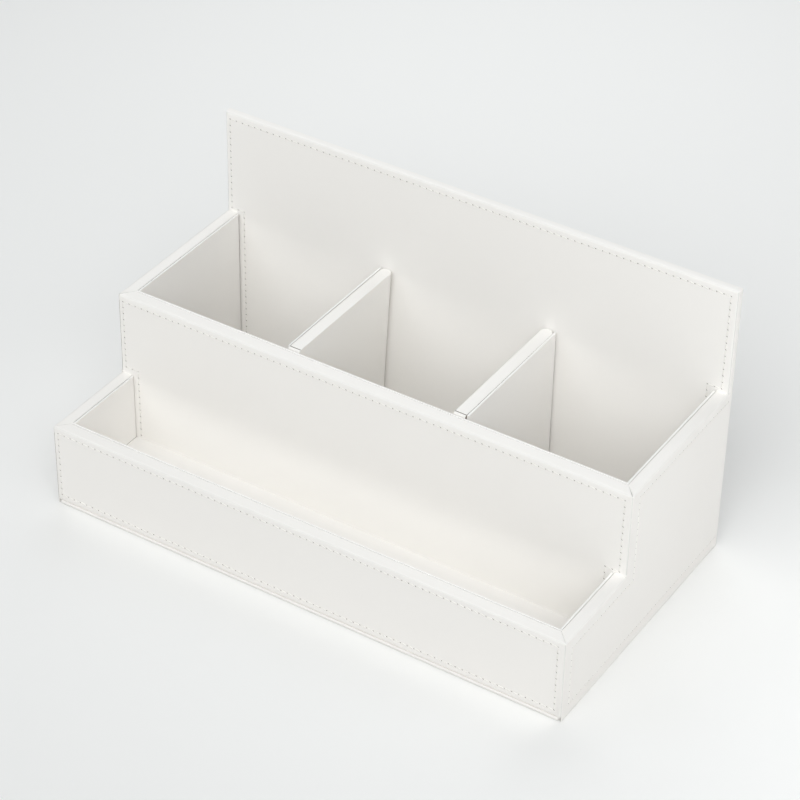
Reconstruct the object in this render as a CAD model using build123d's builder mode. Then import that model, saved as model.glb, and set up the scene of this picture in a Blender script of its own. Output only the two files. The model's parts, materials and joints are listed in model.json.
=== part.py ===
from build123d import *
import os

os.makedirs("parts", exist_ok=True)

# Open desk organizer: boards covered in stitched leatherette, glued into a tall back,
# two stepped sides, a rear box, a low tray along the front, and two loose dividers.
# X runs along the width, Y from the tray at the front to the back, Z up, in millimetres.
# The origin is the middle of the footprint, on the surface that the organizer stands on.

# Overall sizes
organizer_width = 320.0
organizer_depth = 169.5
back_height = 169.0
box_height = 104.5            # rim of the rear box
tray_height = 52.5            # rim of the front tray
tray_depth = 61.5             # face of the tray to the face of the middle wall

# Thicknesses
skin = 0.9                    # leatherette folded over a board
side_board_thickness = 5.2
cross_board_thickness = 5.8   # tray front and middle wall
back_board_thickness = 2.9
rear_panel_thickness = 1.3
base_board_thickness = 2.2
floor_board_thickness = 5.8
divider_board_thickness = 5.2
liner_thickness = 1.4         # covered card that faces a wall on its inside

# Fits
liner_end_gap = 0.5           # open end of a side liner, short of the wall behind it
divider_left_x = -51.7        # middle of each divider
divider_right_x = 52.9
divider_front_gap = 2.8
divider_rear_gap = 0.35
divider_drop = 0.2            # top of a divider below the rim
divider_end_radius = 3.2      # rear end of a divider, rounded by its folded cover
divider_liner_setback = 1.9   # liner card of a divider, short of the divider's rear end

# Places worked out from the sizes above
half_width = organizer_width / 2
front_y = -organizer_depth / 2
rear_y = organizer_depth / 2
side_wall = side_board_thickness + 2 * skin
cross_wall = cross_board_thickness + 2 * skin
board_x = half_width - skin                     # outer face of the side boards
inner_x = half_width - side_wall                # inner face of the covered side walls
front_inner_y = front_y + cross_wall
middle_y = front_y + tray_depth
middle_inner_y = middle_y + cross_wall
rear_panel_y = rear_y - rear_panel_thickness
back_face_y = rear_panel_y - back_board_thickness - skin
base_top = skin + base_board_thickness
floor_board_top = base_top + floor_board_thickness
floor_top = floor_board_top + liner_thickness
fold_radius = 0.9 * skin                        # outer edge of a folded skin
liner_edge_radius = 0.6 * liner_thickness
rear_panel_edge_radius = 0.6 * rear_panel_thickness


def block(x_low, x_high, y_low, y_high, z_low, z_high):
    """A rectangular block between these limits."""
    with BuildSketch(Plane.XY.offset(z_low)) as footprint:
        with Locations(((x_low + x_high) / 2, (y_low + y_high) / 2)):
            Rectangle(x_high - x_low, y_high - y_low)
    extrude(footprint.sketch, amount=z_high - z_low)


def stepped_plate(x_low, x_high, front, rear, bottom, inset):
    """A plate with the side's outline: low along the tray, high along the box."""
    with BuildSketch(Plane.YZ.offset(x_low)) as outline:
        with BuildLine():
            Polyline(
                (front, bottom),
                (rear, bottom),
                (rear, box_height - inset),
                (middle_y + inset, box_height - inset),
                (middle_y + inset, tray_height - inset),
                (front, tray_height - inset),
                close=True,
            )
        make_face()
    extrude(outline.sketch, amount=x_high - x_low)


def mitred_prism(face_y, z_low, z_high):
    """The space of a cross wall, mitred at both ends into the side walls."""
    with BuildSketch(Plane.XY.offset(z_low)) as footprint:
        with BuildLine():
            Polyline(
                (-half_width, face_y),
                (half_width, face_y),
                (inner_x, face_y + cross_wall),
                (-inner_x, face_y + cross_wall),
                close=True,
            )
        make_face()
    extrude(footprint.sketch, amount=z_high - z_low)


def save(builder, name):
    """Label a finished piece and write it."""
    builder.part.label = name
    export_step(builder.part, f"parts/{name}.step")


# Boards

with BuildPart() as base_board:
    block(-board_x + skin, board_x - skin, front_y + skin, rear_panel_y - skin, skin, base_top)
save(base_board, "base_board")

with BuildPart() as floor_board:
    block(-inner_x, inner_x, front_inner_y, back_face_y, base_top, floor_board_top)
save(floor_board, "floor_board")

with BuildPart() as right_side_board:
    stepped_plate(inner_x + skin, board_x, front_y + skin, back_face_y, base_top, skin)
save(right_side_board, "right_side_board")

with BuildPart() as left_side_board:
    mirror(right_side_board.part, about=Plane.YZ)
save(left_side_board, "left_side_board")

with BuildPart() as tray_front_board:
    block(-inner_x, inner_x, front_y + skin, front_inner_y - skin, base_top, tray_height - skin)
save(tray_front_board, "tray_front_board")

with BuildPart() as middle_board:
    block(-inner_x, inner_x, middle_y + skin, middle_inner_y - skin, floor_board_top, box_height - skin)
save(middle_board, "middle_board")

with BuildPart() as back_board:
    block(-board_x, board_x, back_face_y + skin, rear_panel_y, base_top, back_height - skin)
save(back_board, "back_board")

# The base cover is folded up round the four edges of the base board.

with BuildPart() as base_cover:
    block(-board_x, board_x, front_y, rear_panel_y, 0, base_top)
    fillet(base_cover.faces().sort_by(Axis.Z)[0].edges(), fold_radius)
    add(base_board.part, mode=Mode.SUBTRACT)
save(base_cover, "base_cover")

# The covered walls are shaped as one, edges rounded, and then shared out between the
# covers, so that neighbouring covers meet along a mitre at each outer corner.

with BuildPart() as covered_walls:
    stepped_plate(-half_width, half_width, front_y, back_face_y, base_top, 0)
    side_outlines = covered_walls.faces().filter_by(Axis.X).edges()
    side_folds = side_outlines.filter_by(
        lambda edge: edge.center().Z > base_top + skin and edge.center().Y < back_face_y - skin
    )
    cross_folds = covered_walls.edges().filter_by(Axis.X).filter_by(
        lambda edge: abs(edge.center().Z - box_height) + abs(edge.center().Y - middle_y) < skin
        or abs(edge.center().Z - tray_height) + abs(edge.center().Y - front_y) < skin
    )
    fillet(side_folds + cross_folds, fold_radius)
    with BuildSketch(Plane.XY.offset(base_top)):
        with Locations((0, (front_inner_y + middle_y) / 2)):
            Rectangle(2 * inner_x, middle_y - front_inner_y)
        with Locations((0, (middle_inner_y + back_face_y) / 2)):
            Rectangle(2 * inner_x, back_face_y - middle_inner_y)
    extrude(amount=box_height, mode=Mode.SUBTRACT)
    add(floor_board.part, mode=Mode.SUBTRACT)

with BuildPart() as tray_front_zone:
    mitred_prism(front_y, base_top, tray_height)

with BuildPart() as middle_zone:
    mitred_prism(middle_y, tray_height, box_height)
    block(-inner_x, inner_x, middle_y, middle_inner_y, floor_board_top, tray_height)

with BuildPart() as tray_front_cover:
    add(covered_walls.part)
    add(tray_front_zone.part, mode=Mode.INTERSECT)
    add([tray_front_board.part, left_side_board.part, right_side_board.part], mode=Mode.SUBTRACT)
save(tray_front_cover, "tray_front_cover")

with BuildPart() as middle_cover:
    add(covered_walls.part)
    add(middle_zone.part, mode=Mode.INTERSECT)
    add([middle_board.part, left_side_board.part, right_side_board.part], mode=Mode.SUBTRACT)
save(middle_cover, "middle_cover")

with BuildPart() as side_zone:
    block(inner_x, half_width, front_y, back_face_y, base_top, box_height)

# The outer face of a side cover runs on down past the base and back past the back board.

with BuildPart() as right_side_cover:
    add(covered_walls.part)
    add(side_zone.part, mode=Mode.INTERSECT)
    block(board_x, half_width, front_y, rear_panel_y, 0, base_top)
    block(board_x, half_width, back_face_y, rear_panel_y, base_top, box_height)
    add([tray_front_zone.part, middle_zone.part, right_side_board.part], mode=Mode.SUBTRACT)
save(right_side_cover, "right_side_cover")

with BuildPart() as left_side_cover:
    mirror(right_side_cover.part, about=Plane.YZ)
save(left_side_cover, "left_side_cover")

# The back cover is one stitched panel, from the top edge down to the floor of the box.
# Above the rim it is folded round the sides of the back board, below it lies between them.

with BuildPart() as back_cover:
    block(-half_width, half_width, back_face_y, rear_panel_y, box_height, back_height)
    front_face = back_cover.faces().sort_by(Axis.Y)[0]
    fillet(front_face.edges().filter_by(lambda edge: edge.center().Z > box_height), fold_radius)
    block(-board_x, board_x, back_face_y, back_face_y + skin, base_top, box_height)
    add(back_board.part, mode=Mode.SUBTRACT)
save(back_cover, "back_cover")

with BuildPart() as rear_panel:
    block(-half_width, half_width, rear_panel_y, rear_y, 0, back_height)
    fillet(rear_panel.faces().sort_by(Axis.Y)[-1].edges(), rear_panel_edge_radius)
save(rear_panel, "rear_panel")


# Liners: flat covered cards, each with its free top edge rounded on the open side


def box_or_tray_liners(room, open_front, open_rear, rim):
    """Line the front and both sides of a room, from the floor board to its rim."""
    side_rear = open_rear - liner_end_gap
    side_front = open_front + liner_thickness
    lined_x = inner_x - liner_thickness
    with BuildPart() as front_liner:
        block(-inner_x, inner_x, open_front, open_front + liner_thickness, floor_board_top, rim)
        top_edges = front_liner.faces().sort_by(Axis.Z)[-1].edges()
        fillet(top_edges.sort_by(Axis.Y)[-1], liner_edge_radius)
    save(front_liner, f"{room}_front_liner")

    with BuildPart() as right_liner:
        block(lined_x, inner_x, side_front, side_rear, floor_board_top, rim)
        top_edges = right_liner.faces().sort_by(Axis.Z)[-1].edges()
        fillet(top_edges.sort_by(Axis.X)[0], liner_edge_radius)
    save(right_liner, f"{room}_right_liner")

    with BuildPart() as left_liner:
        mirror(right_liner.part, about=Plane.YZ)
    save(left_liner, f"{room}_left_liner")

    with BuildPart() as floor_liner:
        block(-lined_x, lined_x, side_front, open_rear, floor_board_top, floor_top)
    save(floor_liner, f"{room}_floor_liner")


box_or_tray_liners("box", middle_inner_y, back_face_y, box_height)
box_or_tray_liners("tray", front_inner_y, middle_y, tray_height)

# Dividers stand loose on the floor liner. Each is a covered board with a liner card on
# one face, and the second is the first turned round, so its liner faces the other side.

divider_wall = divider_board_thickness + 2 * skin
divider_front_y = middle_inner_y + liner_thickness + divider_front_gap
divider_rear_y = back_face_y - divider_rear_gap
divider_top = box_height - divider_drop
divider_liner_rear_y = divider_rear_y - divider_liner_setback

for name, middle_x, liner_side in (
    ("left_divider", divider_left_x, -1),
    ("right_divider", divider_right_x, 1),
):
    wall_x = middle_x - liner_side * liner_thickness / 2
    liner_x = middle_x + liner_side * divider_wall / 2
    half_wall = divider_wall / 2
    half_board = divider_board_thickness / 2
    half_liner = liner_thickness / 2

    with BuildPart() as divider_board:
        block(
            wall_x - half_board,
            wall_x + half_board,
            divider_front_y + skin,
            divider_rear_y - skin,
            floor_top,
            divider_top - skin,
        )
        rear_corners = divider_board.edges().filter_by(Axis.Z).group_by(Axis.Y)[-1]
        fillet(rear_corners, divider_end_radius - skin)
    save(divider_board, f"{name}_board")

    with BuildPart() as divider_cover:
        block(
            wall_x - half_wall,
            wall_x + half_wall,
            divider_front_y,
            divider_rear_y,
            floor_top,
            divider_top,
        )
        rear_corners = divider_cover.edges().filter_by(Axis.Z).group_by(Axis.Y)[-1]
        fillet(rear_corners, divider_end_radius)
        fillet(divider_cover.faces().sort_by(Axis.Z)[-1].edges(), fold_radius)
        add(divider_board.part, mode=Mode.SUBTRACT)
    save(divider_cover, f"{name}_cover")

    with BuildPart() as divider_liner:
        block(
            liner_x - half_liner,
            liner_x + half_liner,
            divider_front_y,
            divider_liner_rear_y,
            floor_top,
            divider_top,
        )
        top_edges = divider_liner.faces().sort_by(Axis.Z)[-1].edges()
        fillet(top_edges.sort_by(Axis.X)[0 if liner_side < 0 else -1], liner_edge_radius)
    save(divider_liner, f"{name}_liner")
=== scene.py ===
import json
import math
import bmesh
import bpy
from mathutils import Matrix, Vector, kdtree

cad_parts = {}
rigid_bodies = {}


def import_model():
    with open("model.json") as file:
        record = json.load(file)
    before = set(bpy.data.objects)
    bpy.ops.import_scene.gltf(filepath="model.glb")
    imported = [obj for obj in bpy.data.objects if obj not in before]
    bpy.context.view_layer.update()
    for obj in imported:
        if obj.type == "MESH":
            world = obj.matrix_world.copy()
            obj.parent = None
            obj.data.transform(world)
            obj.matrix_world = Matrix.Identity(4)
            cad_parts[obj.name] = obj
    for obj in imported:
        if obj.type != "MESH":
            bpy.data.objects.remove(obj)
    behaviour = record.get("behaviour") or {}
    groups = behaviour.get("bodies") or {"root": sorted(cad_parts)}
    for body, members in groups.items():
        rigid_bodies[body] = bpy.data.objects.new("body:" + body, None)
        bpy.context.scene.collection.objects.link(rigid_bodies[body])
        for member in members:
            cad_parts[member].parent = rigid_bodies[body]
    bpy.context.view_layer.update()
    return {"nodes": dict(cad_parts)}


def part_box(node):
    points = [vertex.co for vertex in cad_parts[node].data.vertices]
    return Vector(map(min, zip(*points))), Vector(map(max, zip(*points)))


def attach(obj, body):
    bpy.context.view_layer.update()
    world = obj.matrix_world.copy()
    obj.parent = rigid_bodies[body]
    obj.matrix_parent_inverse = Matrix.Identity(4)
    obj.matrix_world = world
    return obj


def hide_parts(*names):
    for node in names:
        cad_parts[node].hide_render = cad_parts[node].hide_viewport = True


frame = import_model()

# Lengths are in metres.
MM = 0.001
TINY = 0.01 * MM                # two places nearer than this are the same
MERGE = 0.002 * MM              # vertices nearer than this become one
FLAT_ANGLE = 0.1                # degrees between faces that count as lying flat
SMOOTH_ANGLE = 50               # degrees, past which an edge stays sharp
PLACE_DIGITS = 7                # places are rounded to a tenth of a micrometre
FACING = 0.9                    # a face whose normal goes this far along an axis is turned to it
SQUARE_ON = 0.99                # and this far, it lies square to it
PAINTED_SHADE_SLOT = 1                 # slot of the painted shade on a piece

# Covers
SKIN = 0.9 * MM                 # leatherette
SIDE_WALL = 7.0 * MM            # covered side wall
WALL = 7.6 * MM                 # covered cross wall
FOLD_RADIUS = 1.5 * MM          # outer edge where a cover turns over its board
FOLD_STEPS = 5
UNDER_FOLD = FOLD_RADIUS + 0.1 * MM    # thickness behind a fold where a cover ends
CORNER_RADIUS = 1.2 * MM        # upright corner, shared by the two covers that meet there
CORNER_STEPS = 4
EDGE_STEPS = 2                  # of the finest edges
CORNER_LIFT = 1.0 * MM          # the box's corners start to round this far above the tray's rim
SEAM_RADIUS = 0.35 * MM         # edge of a cover where it meets its neighbour
RIM_INNER_RADIUS = 0.4 * MM     # edge of a rim next to the liner
HEM = 12 * MM                   # cover turned down on the inside, behind the liner
CLOSED_SLIT = 0.06 * MM         # half of the slit where two covers meet at a corner
SLIT_TOP = 4.0 * MM             # the slit closes this far under the rim
CORNER_SLIT = 0.4 * MM          # how far the covers part at the front corners of the box
CORNER_SLIT_REACH = 2.2 * MM    # how far in from the side they part
CORNER_SLIT_DROP = 0.6 * SKIN   # how far under the rim they part

# Leatherette
COVER_COLOURS = (               # plain, in the blotches, and on folds, where it is painted shade with a little edge wear
    (0.948, 0.926, 0.888),
    (0.957, 0.936, 0.900),
    (0.680, 0.670, 0.640),
)
# plain, in the blotches, and a painted highlight on the folds and tops
LINER_COLOURS = (
    (0.930, 0.909, 0.876),
    (0.940, 0.920, 0.888),
    (0.975, 0.960, 0.935),
)
DARK_COLOURS = (                # painted shade in needle holes, slits, grooves and under the base
    (0.220, 0.185, 0.150),
    (0.300, 0.260, 0.220),
    (0.260, 0.220, 0.180),
)
COVER_ROUGHNESS = 0.50
LINER_ROUGHNESS = 0.52
DARK_ROUGHNESS = 0.80
LEVEL_FOLD_SHADE = 0.24               # share of the painted fold shade on level folds and on dividers, against upright corners, which take it in full
FULL_TURN = 1 - math.sqrt(0.5)  # fold mark of a face half way between two flat sides

# Rows of stitches
ROW_HALF_WIDTH = 156.3 * MM
ROW_OFF_CENTRE = -0.6 * MM      # the rows across were sewn a little to the left
STITCHES_ACROSS = 75
PITCH = 2 * ROW_HALF_WIDTH / STITCHES_ACROSS
STEPS = 6                       # a row's dent is divided into this many steps a stitch
BAND = PITCH / STEPS            # half width of the dent that a row of stitches pulls
DENT = 0.10 * MM                # depth of that dent between needle holes
PUCKER = 0.08 * MM              # how much deeper it is at each needle hole
PUCKER_NEXT = 0.4               # share of that left one step from the hole
STITCHES_PER_CUT = 15           # 90 steps, where subdivide stops at 100
HOLE_RADIUS = 0.4 * MM
SIDE_HOLE_RADIUS = 0.3 * MM     # the sides are sewn with a finer needle
HOLE_DEPTH = 0.35 * MM
HOLE_SLANT = 0.7                # how far the needle's blade turns each hole off the row
HOLE_MIDDLE = 0.5               # share of the hole's radius that is certainly its floor
HOLE_END = 0.6                  # and past which lies one of its two ends
HOLE_REACH = 1.1
TRAY_ROW_TOP = 48.7 * MM
TRAY_ROW_FOOT = 6.6 * MM
MIDDLE_ROW_TOP = 100.3 * MM
MIDDLE_STEP_LEFT = 56.4 * MM    # where the row steps in over the tray's rim, higher on the left
MIDDLE_STEP_RIGHT = 54.0 * MM
MIDDLE_ROW_FOOT = 12.3 * MM
BACK_ROW_TOP = 164.9 * MM
SIDE_ROW_REAR = 81.1 * MM
SIDE_ROW_RISE = 67 * BAND       # the rims' join falls on a whole step of the row below it

# Thread
THREAD_RADIUS = 0.29 * MM
THREAD_SIDES = 8
THREAD_SUNK = 0.12 * MM         # middle of the thread, under the face
STITCH_SHORTER = 0.38 * MM      # from the middle of a hole to where the thread goes down
STITCH_END_DROP = 0.42 * MM
STITCH_SHOULDER = 0.8           # share of the reach where the thread starts to go down
STITCH_SHOULDER_DROP = 0.12 * MM
STITCH_QUARTER = 0.45           # share of the reach with a ring of vertices of its own
STITCH_SLANT = 14               # degrees that each stitch turns across its row
LEVEL_STRETCH = 1.08            # stitches of the level rows are pulled longer

# Liner cards
CARD_OPEN_EDGE = 0.45 * MM      # the free top edge, on the open side
CARD_OPEN_STEPS = 5
CARD_END_RADIUS = 0.9 * MM      # upright edge of a side card, next to the wall behind it
CARD_END_STEPS = 4
CARD_FOOT = 0.4 * MM            # slit under a side card
CARD_FOOT_SHADE = 1.25 * MM       # painted shade along the card's foot, over that slit
FRONT_EDGE = 0.3 * MM           # the front cards are rounded over towards the rim as well
FRONT_STEPS = 3
FRONT_GAP = 0.15 * MM           # slit between a front card and its cover
RIGHT_GAP = 0.15 * MM           # the same behind a right card
LEFT_GAP = 0.45 * MM            # the same behind a left card
BOX_END_TRIM = 0.2 * MM         # the box's side cards stop further from the wall than the liners
TRAY_END_TRIM = -0.3 * MM       # the tray's run on nearer to it

# Dividers
DIVIDER_END_RADIUS = 3.2 * MM
DIVIDER_END_STEPS = 8
DIVIDER_EDGE = 0.35 * MM        # top edge of the cover
DIVIDER_EDGE_STEPS = 3
DIVIDER_NOSE = 1.3 * MM         # rounded front end, past the fold line
DIVIDER_NOSE_RADIUS = 1.2 * MM
DIVIDER_NOSE_STEPS = 5
DIVIDER_GAP = 0.3 * MM          # between a divider's cover and its card
DIVIDER_LEAN = 4.3 * MM         # how far the foot of the left divider stands off to the left
NOTCH = 1.2 * MM                # divider card carried on towards the divider's rear end
FOLD_LINE_WIDTH = 0.45 * MM
FOLD_LINE_DEPTH = 0.7 * MM

# Base and rear panel
BASE_EDGE = 0.6 * MM
BASE_STEPS = 4
SIDE_FOOT_STEPS = 3
BASE_CORNER_RADIUS = 2.0 * MM
BASE_SLIT = 0.6 * MM            # between the front cover and the strip under it
FOOT_HEIGHT = 0.35 * MM         # the underside panel, set back from the edges
FOOT_SET_BACK = 1.2 * MM

# Camera, in degrees and metres
CAMERA_AZIMUTH = 31.98
CAMERA_ELEVATION = 36.49
CAMERA_ROLL = 1.138
CAMERA_DISTANCE = 1.4777
CAMERA_SENSOR = 36              # millimetres
CAMERA_LENS = 125.17            # millimetres
AIM_HEIGHT = 0.080
AIM_RIGHT = 0.0069              # how far the view is carried past the aim, to the right and up
AIM_UP = 0.0033

# Light
WIDE_LAMPS = {                  # degrees round, degrees up, strength
    "key": (32, 50, 0.99),
    "front_fill": (0, 40, 1.09),
}
PANEL_LAMPS = {                 # degrees round, degrees up, metres away, strength at the object
    "low_right_panel": (90, 12, 0.6, 0.82),
    "right_panel": (60, 30, 0.9, 0.54),
    "left_panel": (-50, 40, 1.0, 0.58),
    "back_panel": (200, 50, 1.0, 1.21),
}
LAMP_SPREAD = 50                # degrees that a wide lamp fills
LAMP_COLOUR = (0.965, 0.985, 1.0)
PANEL_SIZE = 0.8                # share of its distance
PANEL_AIM = 0.06                # height that the panels are turned towards
FLOOR_SIZE = 30
FLOOR_COLOUR = (0.927, 0.924, 0.906)
FLOOR_BOUNCE_COLOUR = (0.72, 0.705, 0.685)    # what the floor throws back on the object

# Places taken from the solids
tray_low, tray_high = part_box("tray_front_cover")
middle_low, middle_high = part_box("middle_cover")
back_low, back_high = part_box("back_cover")
side_low, side_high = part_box("right_side_cover")
HALF_WIDTH = side_high.x
INNER_X = side_low.x
TRAY_TOP = tray_high.z
BOX_TOP = middle_high.z
MIDDLE_FACE = middle_low.y
BACK_FACE = back_low.y


def near(a, b):
    """Whether two places along an axis are the same."""
    return abs(a - b) < TINY


def place_key(co):
    """A place, rounded, as a key to look it up by."""
    return tuple(round(part, PLACE_DIGITS) for part in co)


def start_block(name, low, high):
    """A block between two corners, as the start of a piece, with its place in its mesh."""
    bpy.ops.object.select_all(action="DESELECT")
    middle = (Vector(low) + Vector(high)) / 2
    bpy.ops.mesh.primitive_cube_add(size=1, location=middle)
    piece = bpy.context.active_object
    piece.name = name
    piece.scale = Vector(high) - Vector(low)
    bpy.ops.object.transform_apply(location=True, rotation=True, scale=True)
    return piece


def pick(kind, test):
    """Select the vertices, edges or faces, of the piece in edit mode, whose places pass a test."""
    bpy.ops.mesh.select_mode(type=kind)
    bpy.ops.mesh.select_all(action="DESELECT")
    mesh = bmesh.from_edit_mesh(bpy.context.edit_object.data)
    chosen = {"VERT": mesh.verts, "EDGE": mesh.edges, "FACE": mesh.faces}[kind]
    count = 0
    for element in chosen:
        if kind == "VERT":
            passed = test(element.co)
        elif kind == "EDGE":
            passed = test(element.verts[0].co, element.verts[1].co)
        else:
            passed = test(element.calc_center_median(), element.normal)
        element.select = bool(passed)
        count += bool(passed)
    mesh.select_flush_mode()
    bmesh.update_edit_mesh(bpy.context.edit_object.data)
    return count


def cut(axis, place, test=lambda centre, normal: True):
    """Cut the chosen faces along a plane square to an axis."""
    if pick("FACE", test):
        normal = Vector([float(i == axis) for i in range(3)])
        bpy.ops.mesh.bisect(plane_co=normal * place, plane_no=normal)


def push(vector):
    """Extrude the selected faces by a vector."""
    bpy.ops.mesh.extrude_region_move(TRANSFORM_OT_translate={"value": Vector(vector)})


def edit(piece, *finishes):
    """Give a piece its finishes and start to shape it."""
    for finish in finishes:
        piece.data.materials.append(finish)
    bpy.context.view_layer.objects.active = piece
    bpy.ops.object.mode_set(mode="EDIT")


def round_edges(radius, segments, test):
    """Round the chosen edges, if there are any."""
    if pick("EDGE", test):
        bpy.ops.mesh.bevel(offset=radius, segments=segments, affect="EDGES")


def shade_dark(test):
    """Paint shade on the chosen faces, down in a slit or under a part, with the dark material of the second
    slot.
    """
    pick("FACE", test)
    bpy.context.edit_object.active_material_index = PAINTED_SHADE_SLOT
    bpy.ops.object.material_slot_assign()


def join_flat(test):
    """Let the chosen faces run on as one where they lie flat side by side."""
    pick("FACE", test)
    bpy.ops.mesh.dissolve_limited(angle_limit=math.radians(FLAT_ANGLE))


def mitre(corner, inner, keep_towards, slit):
    """Cut off the end of a cover along the upright plane through two points."""
    bpy.ops.mesh.select_all(action="SELECT")
    along = (Vector(inner) - Vector(corner)).normalized()
    normal = along.cross(Vector((0, 0, 1)))
    if normal.dot(Vector(keep_towards)) > 0:
        normal = -normal
    bpy.ops.mesh.bisect(
        plane_co=Vector(corner) - normal * slit,
        plane_no=normal,
        use_fill=True,
        clear_outer=True,
    )


def round_corner(axis, side, front, bottom, top, dark_from=0):
    """Round the upright corner of a cover, up to the slit where its neighbour takes over.

    A place near the corner lies some way in from the side and some way in from the front.
    The lesser of the two stays its depth, and it is carried onto an arc about the corner's centre.
    The slit gets painted shade inside, from a height over the foot up to a little under the rim.
    """
    def depths(co):
        return HALF_WIDTH - co.x * side, co.y - front

    def outside(centre, normal):
        return (
            bottom - TINY < centre.z < top + TINY
            and -TINY < min(depths(centre)) < CORNER_RADIUS
            and (normal.z > 0.1 or max(-normal.y, normal.x * side) > 0.5 or near(min(depths(centre)), SKIN))
        )

    for step in range(1, CORNER_STEPS + 1):
        reach = CORNER_RADIUS * step / CORNER_STEPS
        cut(axis, side * (HALF_WIDTH - reach) if axis == 0 else front + reach, outside)

    def near_corner(co):
        return (
            bottom - TINY < co.z < top + TINY
            and -TINY < min(depths(co)) < CORNER_RADIUS - TINY
            and max(depths(co)) < CORNER_RADIUS - TINY
        )

    pick("VERT", near_corner)
    mesh = bmesh.from_edit_mesh(bpy.context.edit_object.data)
    places = {(round(v.co.x, PLACE_DIGITS), round(v.co.y, PLACE_DIGITS)) for v in mesh.verts if v.select}
    for x, y in sorted(places):
        from_side, from_front = depths(Vector((x, y, 0)))
        depth, along = sorted((from_side, from_front))
        radius = CORNER_RADIUS - depth
        angle = (CORNER_RADIUS - along) / radius * math.pi / 4
        new_depth = CORNER_RADIUS - radius * math.cos(angle)
        new_along = CORNER_RADIUS - radius * math.sin(angle)
        new_side, new_front = (new_depth, new_along) if from_side < from_front else (new_along, new_depth)
        pick("VERT", lambda co: near_corner(co) and abs(co.x - x) + abs(co.y - y) < TINY / 50)
        bpy.ops.transform.translate(value=(side * (from_side - new_side), new_front - from_front, 0))

    def in_slit(centre, normal):
        return normal.x * side * normal.y > 0.4 and bottom < centre.z < top + TINY

    for place in (dark_from, top - SLIT_TOP):
        cut(2, place, in_slit)
    shade_dark(lambda centre, normal: in_slit(centre, normal) and dark_from < centre.z < top - SLIT_TOP)


def row(*steps):
    """Straight runs of a row, from its corner points with the count of stitches between them."""
    starts, counts, ends = steps[0::2], steps[1::2], steps[2::2]
    return [(Vector(start), Vector(end), count) for start, count, end in zip(starts, counts, ends)]


def row_points(path):
    """Places of the needle holes along the runs of a row, evenly spread over each run."""
    holes = [start + (end - start) * k / count for start, end, count in path for k in range(count)]
    return holes + [path[-1][1]]


def run_axis(start, end):
    """The axis that a run goes along."""
    return max(range(3), key=lambda axis: abs(end[axis] - start[axis]))


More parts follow.
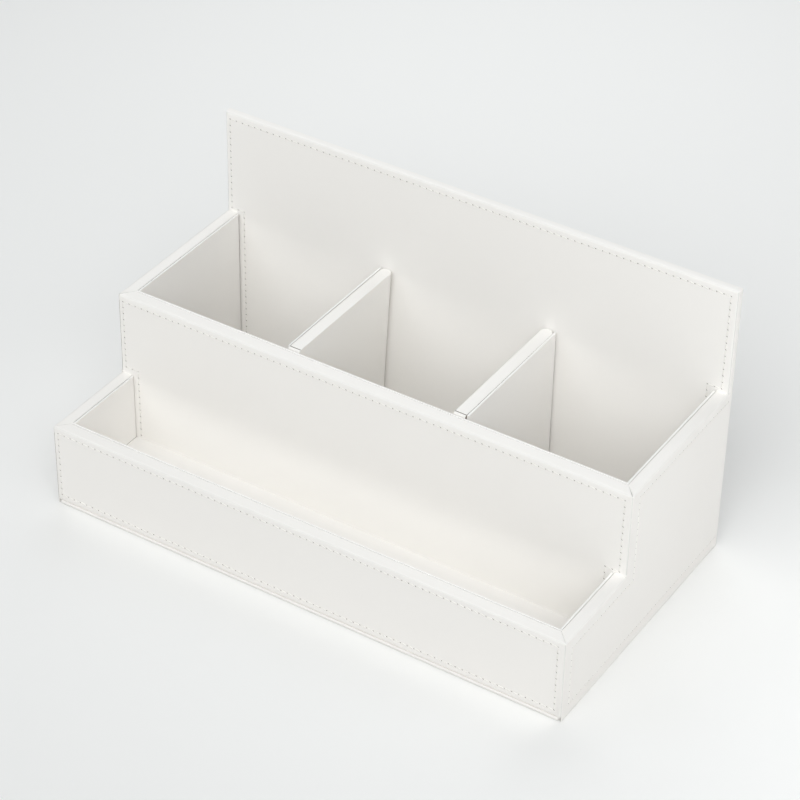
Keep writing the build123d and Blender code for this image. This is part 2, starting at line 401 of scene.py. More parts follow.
def sew(face_axis, outward, place, paths, hole_radius=HOLE_RADIUS, merge=True):
    """Pull rows of stitches into a flat face: dent it along each path and open the needle holes."""
    inward = Vector([-outward * float(axis == face_axis) for axis in range(3)])

    def on_face(centre, normal):
        return abs(centre[face_axis] - place) < TINY and normal[face_axis] * outward > FACING

    if merge:
        pick("FACE", on_face)
        bpy.ops.mesh.dissolve_limited(angle_limit=math.radians(FLAT_ANGLE))

    # The bands along the rows, and a few crossing cuts, so that no stretch is divided
    # into more steps than the subdivide operator allows. The lines up run over the whole
    # face, and the level ones only where a row passes.
    level, upright = 2, 1 - face_axis
    runs = [(start, end, count, run_axis(start, end)) for path in paths for start, end, count in path]
    lines_up = set()
    level_lines = {}

    def add_level_line(place, low, high):
        level_lines.setdefault(round(place, PLACE_DIGITS), []).append((low - BAND - TINY, high + BAND + TINY))

    for start, end, count, axis in runs:
        low, high = sorted((start[upright], end[upright]))
        for point in (start, end):
            for offset in (-BAND, 0, BAND):
                lines_up.add(round(point[upright] + offset, PLACE_DIGITS))
                add_level_line(point[level] + offset, low, high)
        for k in range(STITCHES_PER_CUT, count, STITCHES_PER_CUT):
            point = start + (end - start) * k / count
            if axis == upright:
                lines_up.add(round(point[upright], PLACE_DIGITS))
            else:
                add_level_line(point[level], low, high)
    for line in sorted(lines_up):
        cut(upright, line, on_face)
    for line, reaches in sorted(level_lines.items()):
        cut(level, line, lambda centre, normal: on_face(centre, normal)
            and any(low < centre[upright] < high for low, high in reaches))

    for start, end, count, axis in runs:
        across = 3 - axis - face_axis
        low, high = sorted((start[axis], end[axis]))
        step = (high - low) / (STEPS * count)

        def in_band(a, b):
            return (
                abs(a[face_axis] - place) < TINY
                and abs(b[face_axis] - place) < TINY
                and abs(a[across] - b[across]) < TINY
                and abs(a[across] - start[across]) < BAND + TINY
                and low - TINY < min(a[axis], b[axis])
                and max(a[axis], b[axis]) < high + TINY
            )

        mesh = bmesh.from_edit_mesh(bpy.context.edit_object.data)
        lengths = {
            round((edge.verts[0].co - edge.verts[1].co).length / step)
            for edge in mesh.edges
            if in_band(edge.verts[0].co, edge.verts[1].co)
        }
        for parts in sorted(lengths - {0, 1}):
            pick("EDGE", lambda a, b: in_band(a, b) and round((a - b).length / step) == parts)
            bpy.ops.mesh.subdivide(number_cuts=parts - 1)

    # The dent is deepest at each needle hole.
    depth_at_step = (DENT + PUCKER, DENT + PUCKER_NEXT * PUCKER, DENT, DENT)

    def step_of(co):
        """How many steps a place on a row lies from the nearest needle hole."""
        for start, end, count, _ in runs:
            along = (end - start).normalized()
            run = (co - start).dot(along)
            off = (co - start - along * run).length
            if off < TINY and -TINY < run < (end - start).length + TINY:
                step = round(run / (end - start).length * STEPS * count) % STEPS
                return min(step, STEPS - step)
        return None

    mesh = bmesh.from_edit_mesh(bpy.context.edit_object.data)
    step_places = {
        place_key(v.co): step_of(v.co) for v in mesh.verts if abs(v.co[face_axis] - place) < TINY
    }
    for wanted, depth in enumerate(depth_at_step):
        if pick("VERT", lambda co: step_places.get(place_key(co)) == wanted):
            bpy.ops.transform.translate(value=inward * depth)

    holes = [point + inward * (DENT + PUCKER) for path in paths for point in row_points(path)]
    tree = kdtree.KDTree(len(holes))
    for number, point in enumerate(holes):
        tree.insert(point, number)
    tree.balance()
    pick("VERT", lambda co: tree.find(co)[2] < BAND / 10)
    bpy.ops.mesh.bevel(offset=hole_radius, affect="VERTICES", segments=1)
    sideways = Vector((0, 0, 1)).cross(inward)
    for end in (-1, 1):
        if pick("VERT", lambda co: (co.z - tree.find(co)[0].z) * end > HOLE_END * hole_radius
                and tree.find(co)[2] < HOLE_REACH * hole_radius):
            bpy.ops.transform.translate(value=sideways * end * HOLE_SLANT * hole_radius)
    pick("FACE", lambda centre, normal: tree.find(centre)[2] < HOLE_MIDDLE * hole_radius)
    push(inward * HOLE_DEPTH)
    # Painted shade on the floor, the walls and the rim of each needle hole
    bpy.ops.mesh.select_more()
    bpy.context.edit_object.active_material_index = PAINTED_SHADE_SLOT
    bpy.ops.object.material_slot_assign()


def finish_piece(piece, body, slot, node):
    """Clean the mesh, shade it smooth, mark its folds, and let it stand for its CAD node."""
    bpy.ops.mesh.select_all(action="SELECT")
    bpy.ops.mesh.remove_doubles(threshold=MERGE)
    bpy.ops.mesh.normals_make_consistent(inside=False)
    bpy.ops.object.mode_set(mode="OBJECT")
    bpy.ops.object.select_all(action="DESELECT")
    piece.select_set(True)
    bpy.ops.object.shade_smooth_by_angle(angle=math.radians(SMOOTH_ANGLE))
    even = piece.modifiers.new("even_shading", "WEIGHTED_NORMAL")
    even.keep_sharp = True
    bpy.ops.object.modifier_apply(modifier=even.name)
    # The fold mark places the painted tone: painted shade on the covers' folds, in full at upright corners
    # and in part on level folds and dividers, and a painted highlight on the liners' folds and tops.
    marks = piece.data.attributes.new("fold", "FLOAT", "CORNER")
    for face in piece.data.polygons:
        turn = (1 - max(abs(part) for part in face.normal)) / FULL_TURN
        if slot == "cover_leatherette" and (abs(face.normal.z) > 0.1 or body != "organizer"):
            turn *= LEVEL_FOLD_SHADE
        if slot == "liner_leatherette" and face.normal.z > 0.5:
            turn = 1
        for corner in face.loop_indices:
            marks.data[corner].value = min(1, turn)
    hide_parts(node)
    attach(piece, body)
    return piece


def wrap_cross_wall(name, node, wing_bottom, paths):
    """A cover over a wall that runs across: up the face, over the top, down behind the liner."""
    low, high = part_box(node)
    face, inner, top = low.y, low.y + WALL, high.z
    body_x = HALF_WIDTH if near(wing_bottom, low.z) else INNER_X
    piece = start_block(
        name,
        (-body_x, face, low.z),
        (body_x, face + SKIN, wing_bottom if body_x == INNER_X else top),
    )
    edit(piece, cover, painted_shade)
    if body_x == INNER_X:
        pick("FACE", lambda centre, normal: normal.z > FACING)
        push((0, 0, top - wing_bottom))
        for side in (-1, 1):
            pick("FACE", lambda centre, normal: normal.x * side > FACING and centre.z > wing_bottom)
            push((side * (HALF_WIDTH - INNER_X), 0, 0))
    cut(2, top - SKIN)
    pick("FACE", lambda centre, normal: normal.y > FACING and centre.z > top - SKIN)
    push((0, inner - face - SKIN, 0))
    cut(1, inner - SKIN)
    pick("FACE", lambda centre, normal: normal.z < -FACING
         and centre.y > inner - SKIN and centre.z > top - 2 * SKIN)
    push((0, 0, -HEM))
    for side in (-1, 1):
        mitre((side * HALF_WIDTH, face, 0), (side * INNER_X, inner, 0), (-side, 0, 0), CLOSED_SLIT)
    join_flat(lambda centre, normal: normal.z > SQUARE_ON and near(centre.z, top))
    join_flat(lambda centre, normal: normal.y < -SQUARE_ON and near(centre.y, face))
    round_edges(FOLD_RADIUS, FOLD_STEPS, lambda a, b: near(a.y, face) and near(b.y, face)
                and near(a.z, top) and near(b.z, top))
    round_edges(SEAM_RADIUS, EDGE_STEPS, lambda a, b: near(a.y, face) and near(b.y, face)
                and near(a.z, low.z) and near(b.z, low.z))
    round_edges(RIM_INNER_RADIUS, EDGE_STEPS, lambda a, b: near(a.y, inner) and near(b.y, inner)
                and near(a.z, top) and near(b.z, top))
    sew(1, -1, face, paths)
    above = 0
    if wing_bottom > low.z:
        above = CORNER_LIFT
        cut(2, wing_bottom + above)
    for side in (-1, 1):
        round_corner(0, side, face, wing_bottom + above, top)
        if above:
            pick("VERT", lambda co: co.z > top - CORNER_SLIT_DROP
                 and 0 < HALF_WIDTH - co.x * side < CORNER_SLIT_REACH
                 and abs((HALF_WIDTH - co.x * side) * WALL / SIDE_WALL - (co.y - face)) < CORNER_SLIT / 2)
            bpy.ops.transform.translate(value=(-side * CORNER_SLIT, 0, 0))
    return finish_piece(piece, "organizer", "cover_leatherette", node)


def wrap_side(name, node, side, paths):
    """The stepped side: up the outside, over both rims, down behind the liners."""
    low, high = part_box(node)
    outer, inner = side * HALF_WIDTH, side * INNER_X

    def inside(centre, normal):
        return normal.x * side < FACING

    skin_x = sorted((outer, outer - side * SKIN))
    piece = start_block(name, (skin_x[0], low.y, low.z), (skin_x[1], high.y, TRAY_TOP))
    edit(piece, cover, painted_shade)
    mitre((outer, low.y, 0), (inner, low.y + WALL, 0), (0, 1, 0), CLOSED_SLIT)
    pick("FACE", lambda centre, normal: normal.z > FACING)
    corner = Vector((outer, MIDDLE_FACE, 0))
    along = (Vector((inner, MIDDLE_FACE + WALL, 0)) - corner).normalized()
    across = along.cross(Vector((0, 0, 1)))
    bpy.ops.mesh.bisect(plane_co=corner, plane_no=across)
    pick("FACE", lambda centre, normal: normal.z > FACING and centre.y > MIDDLE_FACE + SKIN)
    push((0, 0, BOX_TOP - TRAY_TOP))
    cut(1, MIDDLE_FACE, lambda centre, normal: inside(centre, normal) and centre.z < TRAY_TOP + TINY)
    cut(1, BACK_FACE, inside)
    slope = WALL / SIDE_WALL
    for top, front, rear in ((TRAY_TOP, low.y, MIDDLE_FACE), (BOX_TOP, MIDDLE_FACE, BACK_FACE)):
        cut(2, top - SKIN, inside)
        pick("FACE", lambda centre, normal: normal.x * side < -FACING
             and top - SKIN < centre.z < top and front < centre.y < rear)
        push((side * (INNER_X - HALF_WIDTH + SKIN), 0, 0))
        pick("VERT", lambda co: near(co.x, inner) and co.z > top - SKIN - TINY
             and co.y < front + 2 * SKIN and co.z < top + TINY)
        bpy.ops.transform.translate(value=(0, (SIDE_WALL - SKIN) * slope, 0))
        cut(0, inner + side * SKIN)
        pick("FACE", lambda centre, normal: normal.z < -FACING
             and abs(centre.x) < INNER_X + SKIN and top - 2 * SKIN < centre.z < top)
        push((0, 0, -HEM))
    sew(0, side, outer, paths, SIDE_HOLE_RADIUS, merge=False)
    cut(2, TRAY_TOP + CORNER_LIFT)
    join_flat(lambda centre, normal: normal.z > SQUARE_ON and centre.z > TRAY_TOP - TINY)
    for top, rear, end in ((TRAY_TOP, MIDDLE_FACE, MIDDLE_FACE + SKIN * slope), (BOX_TOP, BACK_FACE, high.y)):
        for place in (rear, end):
            away = 0 if near(place, rear) or top > TRAY_TOP else (UNDER_FOLD - SKIN) * slope
            pick("VERT", lambda co: near(co.x, outer - side * SKIN) and near(co.y, place) and near(co.z, top))
            bpy.ops.transform.translate(value=(side * (SKIN - UNDER_FOLD), away, 0))
    for top, rear in ((TRAY_TOP, MIDDLE_FACE), (BOX_TOP, high.y)):
        round_edges(FOLD_RADIUS, FOLD_STEPS, lambda a, b: near(a.x, outer) and near(b.x, outer)
                    and near(a.z, top) and near(b.z, top) and max(a.y, b.y) < rear + TINY)
        round_edges(RIM_INNER_RADIUS, EDGE_STEPS, lambda a, b: near(a.x, inner) and near(b.x, inner)
                    and near(a.z, top) and near(b.z, top))
    round_edges(BASE_EDGE, SIDE_FOOT_STEPS, lambda a, b: near(a.x, outer) and near(b.x, outer)
                and near(a.z, low.z) and near(b.z, low.z))
    # Painted shade on the hem's inner face, which shows in the slit behind the liner card
    shade_dark(lambda centre, normal: normal.x * side < -FACING and near(centre.x, inner))
    # Painted shade in the left front slit starts at the front cover's foot; on the right, at the floor
    dark_from = tray_low.z if side < 0 else low.z
    round_corner(1, side, low.y, low.z, TRAY_TOP, dark_from)
    round_corner(1, side, MIDDLE_FACE, TRAY_TOP + CORNER_LIFT, BOX_TOP)
    return finish_piece(piece, "organizer", "cover_leatherette", node)


def wrap_back(name, node, paths):
    """The back: a stitched face down to the floor of the box, folded round the board above the rim."""
    low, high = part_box(node)
    face, rear, top = low.y, high.y, high.z
    board_x = HALF_WIDTH - UNDER_FOLD
    piece = start_block(name, (-board_x, face, low.z), (board_x, face + SKIN, BOX_TOP))
    edit(piece, cover, painted_shade)
    pick("FACE", lambda centre, normal: normal.z > FACING)
    push((0, 0, top - BOX_TOP))
    for side in (-1, 1):
        pick("FACE", lambda centre, normal: normal.x * side > FACING and centre.z > BOX_TOP)
        push((side * UNDER_FOLD, 0, 0))
    cut(2, top - SKIN)
    pick("FACE", lambda centre, normal: normal.y > FACING and centre.z > BOX_TOP
         and (centre.z > top - SKIN or abs(centre.x) > board_x))
    push((0, rear - face - SKIN, 0))
    join_flat(lambda centre, normal: True)
    round_edges(FOLD_RADIUS, FOLD_STEPS, lambda a, b: near(a.y, face) and near(b.y, face)
                and ((near(a.z, top) and near(b.z, top)) or (near(abs(a.x), HALF_WIDTH) and near(a.x, b.x))))
    sew(1, -1, face, paths)
    return finish_piece(piece, "organizer", "cover_leatherette", node)


def card(name, node, open_axis, open_side, low_trim, high_trim, body="organizer", lean=0):
    """A liner card covered with leatherette, its free edge rounded over on the open side.

    The open axis is the way that the card faces, and the open side is +1 or -1 along it.
    """
    low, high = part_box(node)
    low, high = low + Vector(low_trim), high - Vector(high_trim)
    open_place = high[open_axis] if open_side > 0 else low[open_axis]
    piece = start_block(name, low, high)
    edit(piece, liner, painted_shade)
    if open_axis == 0:
        round_edges(CARD_END_RADIUS, CARD_END_STEPS, lambda a, b: near(a.x, open_place)
                    and near(b.x, open_place) and near(a.y, high.y) and near(b.y, high.y))
    round_edges(CARD_OPEN_EDGE, CARD_OPEN_STEPS, lambda a, b: near(a.z, high.z) and near(b.z, high.z)
                and near(a[open_axis], open_place) and near(b[open_axis], open_place))
    pick("VERT", lambda co: near(co.z, low.z))
    bpy.ops.transform.translate(value=(-lean, 0, 0))
    if open_axis == 1:
        round_edges(FRONT_EDGE, FRONT_STEPS, lambda a, b: near(a.z, high.z) and near(b.z, high.z)
                    and near(a.y, low.y) and near(b.y, low.y))
        # Painted shade on the closed face, down in the slit behind the front card
        shade_dark(lambda centre, normal: normal.y < -SQUARE_ON)
    # Painted shade along a side card's foot, and on a left card's closed face, in the slit behind it.
    if open_axis == 0 and body == "organizer":
        cut(2, low.z + CARD_FOOT_SHADE)
        shade_dark(lambda centre, normal: centre.z < low.z + CARD_FOOT_SHADE)
        if open_side > 0:
            shade_dark(lambda centre, normal: normal.x < -SQUARE_ON)
    # Where the rear end stops short of the wall, painted shade on its end face, in the slit.
    if open_axis == 0 and high_trim[1] >= 0:
        shade_dark(lambda centre, normal: normal.y > SQUARE_ON)
    return finish_piece(piece, body, "liner_leatherette", node)


def wrap_divider(name, node, body, card_side, lean):
    """A divider's cover: rounded rear end, and a fold line across the top behind its rounded nose."""
    low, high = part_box(node)
    piece = start_block(name, low - Vector((0, DIVIDER_NOSE, 0)), high)
    edit(piece, cover, painted_shade)
    nose = low.y - DIVIDER_NOSE
    round_edges(DIVIDER_END_RADIUS, DIVIDER_END_STEPS, lambda a, b: near(a.y, high.y) and near(b.y, high.y)
                and near(a.x, b.x) and abs(a.z - b.z) > MM)
    round_edges(DIVIDER_NOSE_RADIUS, DIVIDER_NOSE_STEPS, lambda a, b: near(a.y, nose) and near(b.y, nose)
                and near(a.z, high.z) and near(b.z, high.z))
    round_edges(DIVIDER_EDGE, DIVIDER_EDGE_STEPS, lambda a, b: near(a.z, high.z) and near(b.z, high.z)
                and min(a.y, b.y) > nose + TINY and (abs(a.y - b.y) > TINY or near(a.y, high.y)))
    for place in (0, FOLD_LINE_WIDTH):
        cut(1, low.y + place)
    pick("FACE", lambda centre, normal: normal.z > SQUARE_ON and centre.z > high.z - TINY
         and 0 < centre.y - low.y < FOLD_LINE_WIDTH)
    push((0, 0, -FOLD_LINE_DEPTH))
    # Painted shade in the fold line, and on the face towards the card, in the slit between them
    shade_dark(lambda centre, normal: high.z - 2 * FOLD_LINE_DEPTH < centre.z < high.z - TINY
               and -TINY < centre.y - low.y < FOLD_LINE_WIDTH + TINY and abs(normal.x) < 0.5)
    shade_dark(lambda centre, normal: normal.x * card_side > SQUARE_ON)
    pick("VERT", lambda co: near(co.z, low.z))
    bpy.ops.transform.translate(value=(-lean, 0, 0))
    return finish_piece(piece, body, "cover_leatherette", node)


def lean_board(name, node, body, lean):
    """The board of a divider that leans sideways."""
    low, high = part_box(node)
    cover_low, cover_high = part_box(body + "_cover")
    piece = start_block(name, low, high)
    edit(piece, board)
    pick("VERT", lambda co: near(co.z, low.z))
    bpy.ops.transform.translate(value=(-lean * (high.z - low.z) / (cover_high.z - cover_low.z), 0, 0))
    return finish_piece(piece, body, "board", node)


def wrap_base(name, node):
    """The base, set back under its edges, with the strip that shows under the front."""
    low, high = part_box(node)
    piece = start_block(name, low + Vector((0, 0, FOOT_HEIGHT)), high - Vector((0, 0, BASE_SLIT)))
    edit(piece, cover, painted_shade)
    round_edges(BASE_CORNER_RADIUS, CORNER_STEPS, lambda a, b: near(a.x, b.x)
                and near(a.y, low.y) and near(b.y, low.y))
    round_edges(BASE_EDGE, BASE_STEPS, lambda a, b: near(a.z, b.z)
                and max(a.y, b.y) < low.y + BASE_CORNER_RADIUS + TINY)
    pick("FACE", lambda centre, normal: normal.z < -SQUARE_ON)
    bpy.ops.mesh.inset(thickness=FOOT_SET_BACK)
    push((0, 0, -FOOT_HEIGHT))
    # Painted shade on the set-back underside
    shade_dark(lambda centre, normal: centre.z < low.z + FOOT_HEIGHT - TINY)
    return finish_piece(piece, "organizer", "cover_leatherette", node)


def wrap_rear_panel(name, node):
    """The plain panel over the back, with its rear edges rounded over."""
    low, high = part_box(node)
    piece = start_block(name, low, high)
    edit(piece, cover)
    round_edges(BASE_EDGE, BASE_STEPS, lambda a, b: near(a.y, high.y) and near(b.y, high.y))
    return finish_piece(piece, "organizer", "cover_leatherette", node)


def one_stitch():
    """A stitch of thread along X, arched, with both ends dipping into their needle holes."""
    reach = PITCH / 2 - STITCH_SHORTER
    bpy.ops.object.select_all(action="DESELECT")
    bpy.ops.mesh.primitive_cylinder_add(
        vertices=THREAD_SIDES, radius=THREAD_RADIUS, depth=2 * reach, rotation=(0, math.pi / 2, 0)
    )
    stitch = bpy.context.active_object
    stitch.name = "stitch"
    bpy.ops.object.transform_apply(location=True, rotation=True, scale=True)
    edit(stitch)
    for share in (-STITCH_SHOULDER, -STITCH_QUARTER, 0, STITCH_QUARTER, STITCH_SHOULDER):
        cut(0, share * reach)
    for share, drop in ((1, STITCH_END_DROP), (STITCH_SHOULDER, STITCH_SHOULDER_DROP)):
        pick("VERT", lambda co: near(abs(co.x), share * reach))
        bpy.ops.transform.translate(value=(0, 0, -drop))
    bpy.ops.object.mode_set(mode="OBJECT")
    bpy.ops.object.shade_smooth()
    return stitch


def thread_row(name, stitch, face_axis, outward, paths, material, body="organizer"):
    """Copies of one stitch from hole to hole along the rows of a cover."""
    out = Vector([outward * float(i == face_axis) for i in range(3)])
    copies = []
    for path in paths:
        holes = row_points(path)
        for start, end in zip(holes, holes[1:]):
            along = (end - start).normalized()
            across = out.cross(along)
            middle = (start + end) / 2 - out * THREAD_SUNK
            slant = Matrix.Rotation(math.radians(-STITCH_SLANT), 4, "Z")
            stretch = Matrix.Scale(LEVEL_STRETCH if abs(along.x) > 0.5 else 1, 4, (1, 0, 0))
            turn = Matrix((along, across, out)).transposed().to_4x4() @ slant @ stretch
            copy = stitch.copy()
            copy.data = stitch.data.copy()
            copy.data.transform(Matrix.Translation(middle) @ turn)
            bpy.context.scene.collection.objects.link(copy)
            copies.append(copy)
    bpy.ops.object.select_all(action="DESELECT")
    for copy in copies:
        copy.select_set(True)
    bpy.context.view_layer.objects.active = copies[0]
    bpy.ops.object.join()
    row_of_thread = bpy.context.active_object
    row_of_thread.name = name
    row_of_thread.data.materials.clear()
    row_of_thread.data.materials.append(material)
    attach(row_of_thread, body)
    return row_of_thread


def cover_rows():
    """The rows of stitches of each cover: corner points, and the count of stitches between two."""
    left, right, n = ROW_OFF_CENTRE - ROW_HALF_WIDTH, ROW_OFF_CENTRE + ROW_HALF_WIDTH, PITCH
    across, in_left, in_right = STITCHES_ACROSS, left + 2 * n, right - 2 * n
    rows = {}
    f, t, foot = tray_low.y, TRAY_ROW_TOP, TRAY_ROW_FOOT
    rows["tray_front"] = [row(
        (left, f, t), across, (right, f, t), 10, (right, f, foot), across,
        (left, f, foot), 10, (left, f, t))]
    f, t, foot = MIDDLE_FACE, MIDDLE_ROW_TOP, MIDDLE_ROW_FOOT
    step_left, step_right = MIDDLE_STEP_LEFT, MIDDLE_STEP_RIGHT
    rows["middle"] = [row(
        (in_left, f, foot), 10, (in_left, f, step_left), 2, (left, f, step_left), 11,
        (left, f, t), across, (right, f, t), 11,
        (right, f, step_right), 2, (in_right, f, step_right), 10, (in_right, f, foot))]
    f, t = BACK_FACE, BACK_ROW_TOP
    step, foot = t - 14 * n, t - 36 * n
    rows["back"] = [row(
        (in_left, f, foot), 22, (in_left, f, step), 2, (left, f, step), 14,
        (left, f, t), across, (right, f, t), 14,
        (right, f, step), 2, (in_right, f, step), 22, (in_right, f, foot))]
    for name, x in (("right_side", HALF_WIDTH), ("left_side", -HALF_WIDTH)):
        rear = SIDE_ROW_REAR
        step, front = rear - 23 * n, rear - 38 * n
        t = TRAY_TOP + SIDE_ROW_RISE
        low, foot = t - 13 * n, t - 22 * n
        rows[name] = [row(
            (x, rear, t), 23, (x, step, t), 13, (x, step, low), 15,
            (x, front, low), 9, (x, front, foot), 38, (x, rear, foot))]
    return rows


def blank_material(name):
    """A new material, with its nodes, its links and its shader."""
    material = bpy.data.materials.new(name)
    material.use_nodes = True
    nodes = material.node_tree.nodes
    return material, nodes, material.node_tree.links, nodes["Principled BSDF"]


def leatherette(name, colour, warm, painted_fold_tone, roughness):
    """Fine pebbled leatherette, with soft blotches of colour and uneven gloss, and a painted tone along its
    folds: painted shade on the covers, with a little edge wear, and a painted highlight on the liners.
    """
    material, nodes, links, shader = blank_material(name)
    place = nodes.new("ShaderNodeTexCoord").outputs["Object"]

    blotches = nodes.new("ShaderNodeTexNoise")
    blotches.inputs["Scale"].default_value = 28
    blotches.inputs["Detail"].default_value = 4
    links.new(place, blotches.inputs["Vector"])
    tint = nodes.new("ShaderNodeMix")
    tint.data_type = "RGBA"
    tint.inputs["A"].default_value = (*colour, 1)
    tint.inputs["B"].default_value = (*warm, 1)
    links.new(blotches.outputs["Fac"], tint.inputs["Factor"])
    # Painted shade or painted highlight along the folds, by the piece's fold mark
    fold = nodes.new("ShaderNodeAttribute")
    fold.attribute_name = "fold"
    painted_fold_mix = nodes.new("ShaderNodeMix")
    painted_fold_mix.data_type = "RGBA"
    painted_fold_mix.inputs["B"].default_value = (*painted_fold_tone, 1)
    links.new(fold.outputs["Fac"], painted_fold_mix.inputs["Factor"])
    links.new(tint.outputs["Result"], painted_fold_mix.inputs["A"])
    links.new(painted_fold_mix.outputs["Result"], shader.inputs["Base Color"])

    grain = nodes.new("ShaderNodeTexVoronoi")
    grain.feature = "SMOOTH_F1"
    grain.inputs["Scale"].default_value = 1500
    links.new(place, grain.inputs["Vector"])
    creases = nodes.new("ShaderNodeTexNoise")
    creases.inputs["Scale"].default_value = 420
    creases.inputs["Detail"].default_value = 5
    links.new(place, creases.inputs["Vector"])
    height = nodes.new("ShaderNodeMath")
    height.operation = "MULTIPLY_ADD"
    height.inputs[1].default_value = 0.6
    links.new(grain.outputs["Distance"], height.inputs[0])
    links.new(creases.outputs["Fac"], height.inputs[2])
    bump = nodes.new("ShaderNodeBump")
    bump.inputs["Strength"].default_value = 0.25
    bump.inputs["Distance"].default_value = 0.0001
    links.new(height.outputs["Value"], bump.inputs["Height"])
    links.new(bump.outputs["Normal"], shader.inputs["Normal"])

    gloss = nodes.new("ShaderNodeMapRange")
    gloss.inputs["To Min"].default_value = roughness - 0.06
    gloss.inputs["To Max"].default_value = roughness + 0.08
    links.new(creases.outputs["Fac"], gloss.inputs["Value"])
    duller = nodes.new("ShaderNodeMath")
    duller.operation = "MULTIPLY_ADD"
    duller.inputs[1].default_value = 0.12
    links.new(fold.outputs["Fac"], duller.inputs[0])
    links.new(gloss.outputs["Result"], duller.inputs[2])
    links.new(duller.outputs["Value"], shader.inputs["Roughness"])
    shader.inputs["Specular IOR Level"].default_value = 0.3
    return material


def fibreboard():
    """Raw brown fibreboard, felted, with darker and paler fibres pressed into it."""
    material, nodes, links, shader = blank_material("fibreboard")
    place = nodes.new("ShaderNodeTexCoord").outputs["Object"]
    felt = nodes.new("ShaderNodeTexNoise")
    felt.inputs["Scale"].default_value = 900
    felt.inputs["Detail"].default_value = 8
    felt.inputs["Distortion"].default_value = 1.2
    links.new(place, felt.inputs["Vector"])
    fibres = nodes.new("ShaderNodeValToRGB")
    fibres.color_ramp.elements[0].position = 0.3
    fibres.color_ramp.elements[0].color = (0.17, 0.10, 0.055, 1)
    fibres.color_ramp.elements[1].position = 0.7
    fibres.color_ramp.elements[1].color = (0.42, 0.29, 0.18, 1)
    links.new(felt.outputs["Fac"], fibres.inputs["Fac"])
    links.new(fibres.outputs["Color"], shader.inputs["Base Color"])
    bump = nodes.new("ShaderNodeBump")
    bump.inputs["Strength"].default_value = 0.6
    bump.inputs["Distance"].default_value = 0.0001
    links.new(felt.outputs["Fac"], bump.inputs["Height"])
    links.new(bump.outputs["Normal"], shader.inputs["Normal"])
    shader.inputs["Roughness"].default_value = 0.85
    return material


def sewing_thread():
    """Twisted off-white thread, matt, with a fine slanted lay along each stitch."""
    material, nodes, links, shader = blank_material("sewing_thread")
    place = nodes.new("ShaderNodeTexCoord").outputs["Object"]
    lay = nodes.new("ShaderNodeTexWave")
    lay.wave_type = "BANDS"
    lay.bands_direction = "DIAGONAL"
    lay.inputs["Scale"].default_value = 700
    lay.inputs["Distortion"].default_value = 1.5
    links.new(place, lay.inputs["Vector"])
    tint = nodes.new("ShaderNodeMix")
    tint.data_type = "RGBA"
    tint.inputs["A"].default_value = (0.86, 0.835, 0.78, 1)
    tint.inputs["B"].default_value = (0.95, 0.93, 0.885, 1)
    links.new(lay.outputs["Fac"], tint.inputs["Factor"])
    links.new(tint.outputs["Result"], shader.inputs["Base Color"])
    bump = nodes.new("ShaderNodeBump")
    bump.inputs["Strength"].default_value = 0.5
    bump.inputs["Distance"].default_value = 0.00005
    links.new(lay.outputs["Fac"], bump.inputs["Height"])
    links.new(bump.outputs["Normal"], shader.inputs["Normal"])
    shader.inputs["Roughness"].default_value = 0.75
    return material


def direction(round_degrees, height_degrees):
    """The direction that lies so far round from the front, and so far up from the floor."""
    azimuth = math.radians(round_degrees)
    elevation = math.radians(height_degrees)
    return Vector((
        math.sin(azimuth) * math.cos(elevation),
        -math.cos(azimuth) * math.cos(elevation),
        math.sin(elevation),
    ))


def make_camera():
    """A camera turned a little about its own line of sight."""
    roll = math.radians(CAMERA_ROLL)
    towards_camera = direction(CAMERA_AZIMUTH, CAMERA_ELEVATION)
    level_right = (-towards_camera).cross(Vector((0, 0, 1))).normalized()
    level_up = level_right.cross(-towards_camera)
    right = math.cos(roll) * level_right + math.sin(roll) * level_up
    up = math.cos(roll) * level_up - math.sin(roll) * level_right
    place = Vector((0, 0, AIM_HEIGHT)) + AIM_RIGHT * right + AIM_UP * up
    place += CAMERA_DISTANCE * towards_camera
    camera = bpy.data.objects.new("camera", bpy.data.cameras.new("camera"))
    bpy.context.scene.collection.objects.link(camera)
    camera.data.sensor_width = CAMERA_SENSOR
    camera.data.lens = CAMERA_LENS
    camera.matrix_world = Matrix((
        (right.x, up.x, towards_camera.x, place.x),
        (right.y, up.y, towards_camera.y, place.y),
        (right.z, up.z, towards_camera.z, place.z),
        (0, 0, 0, 1),
    ))
    bpy.context.scene.camera = camera


def hang_lamp(name, kind, round_degrees, height_degrees):
    """A lamp turned towards the object from a direction round it and up from the floor."""
    lamp = bpy.data.objects.new(name, bpy.data.lights.new(name, kind))
    bpy.context.scene.collection.objects.link(lamp)
    lamp.data.color = LAMP_COLOUR
    towards_lamp = direction(round_degrees, height_degrees)
    lamp.rotation_euler = towards_lamp.to_track_quat("Z", "Y").to_euler()
    return lamp


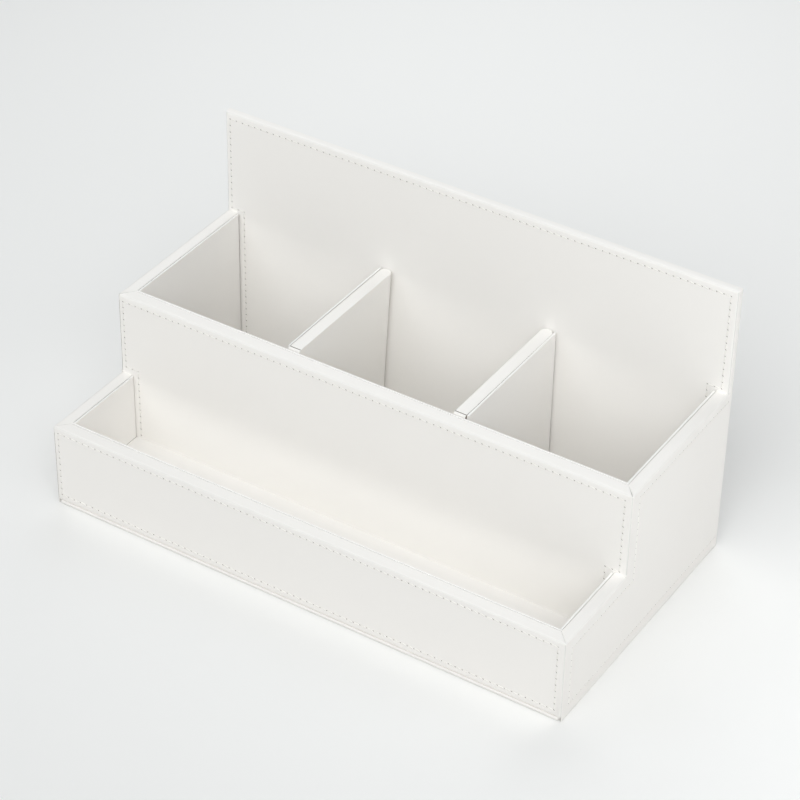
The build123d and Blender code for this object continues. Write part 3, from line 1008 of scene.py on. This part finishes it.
def studio():
    """A pale floor under soft lamps all round, the strongest of them on the viewer's side."""
    bpy.ops.object.select_all(action="DESELECT")
    bpy.ops.mesh.primitive_plane_add(size=FLOOR_SIZE)
    floor = bpy.context.active_object
    floor.name = "floor"
    material, nodes, links, shader = blank_material("pale_paper")
    seen_or_bounced = nodes.new("ShaderNodeMix")
    seen_or_bounced.data_type = "RGBA"
    seen_or_bounced.inputs["A"].default_value = (*FLOOR_BOUNCE_COLOUR, 1)
    seen_or_bounced.inputs["B"].default_value = (*FLOOR_COLOUR, 1)
    ray = nodes.new("ShaderNodeLightPath")
    links.new(ray.outputs["Is Camera Ray"], seen_or_bounced.inputs["Factor"])
    links.new(seen_or_bounced.outputs["Result"], shader.inputs["Base Color"])
    shader.inputs["Roughness"].default_value = 0.9
    shader.inputs["Specular IOR Level"].default_value = 0.1
    floor.data.materials.append(material)

    bpy.context.scene.world = bpy.data.worlds.new("dark_room")
    bpy.context.scene.world.color = (0, 0, 0)
    for name, (round_degrees, height_degrees, strength) in WIDE_LAMPS.items():
        lamp = hang_lamp(name, "SUN", round_degrees, height_degrees)
        lamp.data.angle = math.radians(LAMP_SPREAD)
        lamp.data.energy = strength
    for name, (round_degrees, height_degrees, distance, strength) in PANEL_LAMPS.items():
        lamp = hang_lamp(name, "AREA", round_degrees, height_degrees)
        lamp.location = lamp.matrix_basis @ Vector((0, 0, distance)) + Vector((0, 0, PANEL_AIM))
        lamp.data.size = PANEL_SIZE * distance
        lamp.data.energy = strength * math.pi * distance ** 2


make_camera()
cover = leatherette("cover_leatherette", *COVER_COLOURS, COVER_ROUGHNESS)
liner = leatherette("liner_leatherette", *LINER_COLOURS, LINER_ROUGHNESS)
# Painted shade, for needle holes, slits, grooves and the base's underside
painted_shade = leatherette("painted_shade_dark", *DARK_COLOURS, DARK_ROUGHNESS)
board = fibreboard()
for name, node in frame["nodes"].items():
    finish = liner if name.endswith("_liner") else cover
    if name.endswith("_board"):
        finish = board
    for material_slot in node.material_slots:
        material_slot.material = finish

rows = cover_rows()
wrap_cross_wall("tray_front_wrap", "tray_front_cover", tray_low.z, rows["tray_front"])
wrap_cross_wall("middle_wrap", "middle_cover", TRAY_TOP, rows["middle"])
wrap_back("back_wrap", "back_cover", rows["back"])
wrap_side("right_side_wrap", "right_side_cover", 1, rows["right_side"])
wrap_side("left_side_wrap", "left_side_cover", -1, rows["left_side"])
wrap_base("base_wrap", "base_cover")
wrap_rear_panel("rear_panel_wrap", "rear_panel")
for room, end_trim in (("box", BOX_END_TRIM), ("tray", TRAY_END_TRIM)):
    card(room + "_front_card", room + "_front_liner", 1, 1, (0, FRONT_GAP, 0), (0, 0, 0))
    card(room + "_right_card", room + "_right_liner", 0, -1, (0, 0, CARD_FOOT), (RIGHT_GAP, end_trim, 0))
    card(room + "_left_card", room + "_left_liner", 0, 1, (LEFT_GAP, 0, CARD_FOOT), (0, end_trim, 0))
for body, side, lean in (("left_divider", -1, DIVIDER_LEAN), ("right_divider", 1, 0)):
    wrap_divider(body + "_wrap", body + "_cover", body, side, lean)
    low_gap, high_gap = (DIVIDER_GAP, 0) if side > 0 else (0, DIVIDER_GAP)
    card(body + "_card", body + "_liner", 0, side, (low_gap, 0, 0), (high_gap, -NOTCH, 0), body, lean)
lean_board("left_divider_core", "left_divider_board", "left_divider", DIVIDER_LEAN)

thread = sewing_thread()
stitch = one_stitch()
for name, axis, outward in (
    ("tray_front", 1, -1),
    ("middle", 1, -1),
    ("back", 1, -1),
    ("right_side", 0, 1),
    ("left_side", 0, -1),
):
    thread_row(name + "_stitches", stitch, axis, outward, rows[name], thread)
bpy.data.objects.remove(stitch)

studio()
bpy.context.scene.view_settings.view_transform = "Standard"
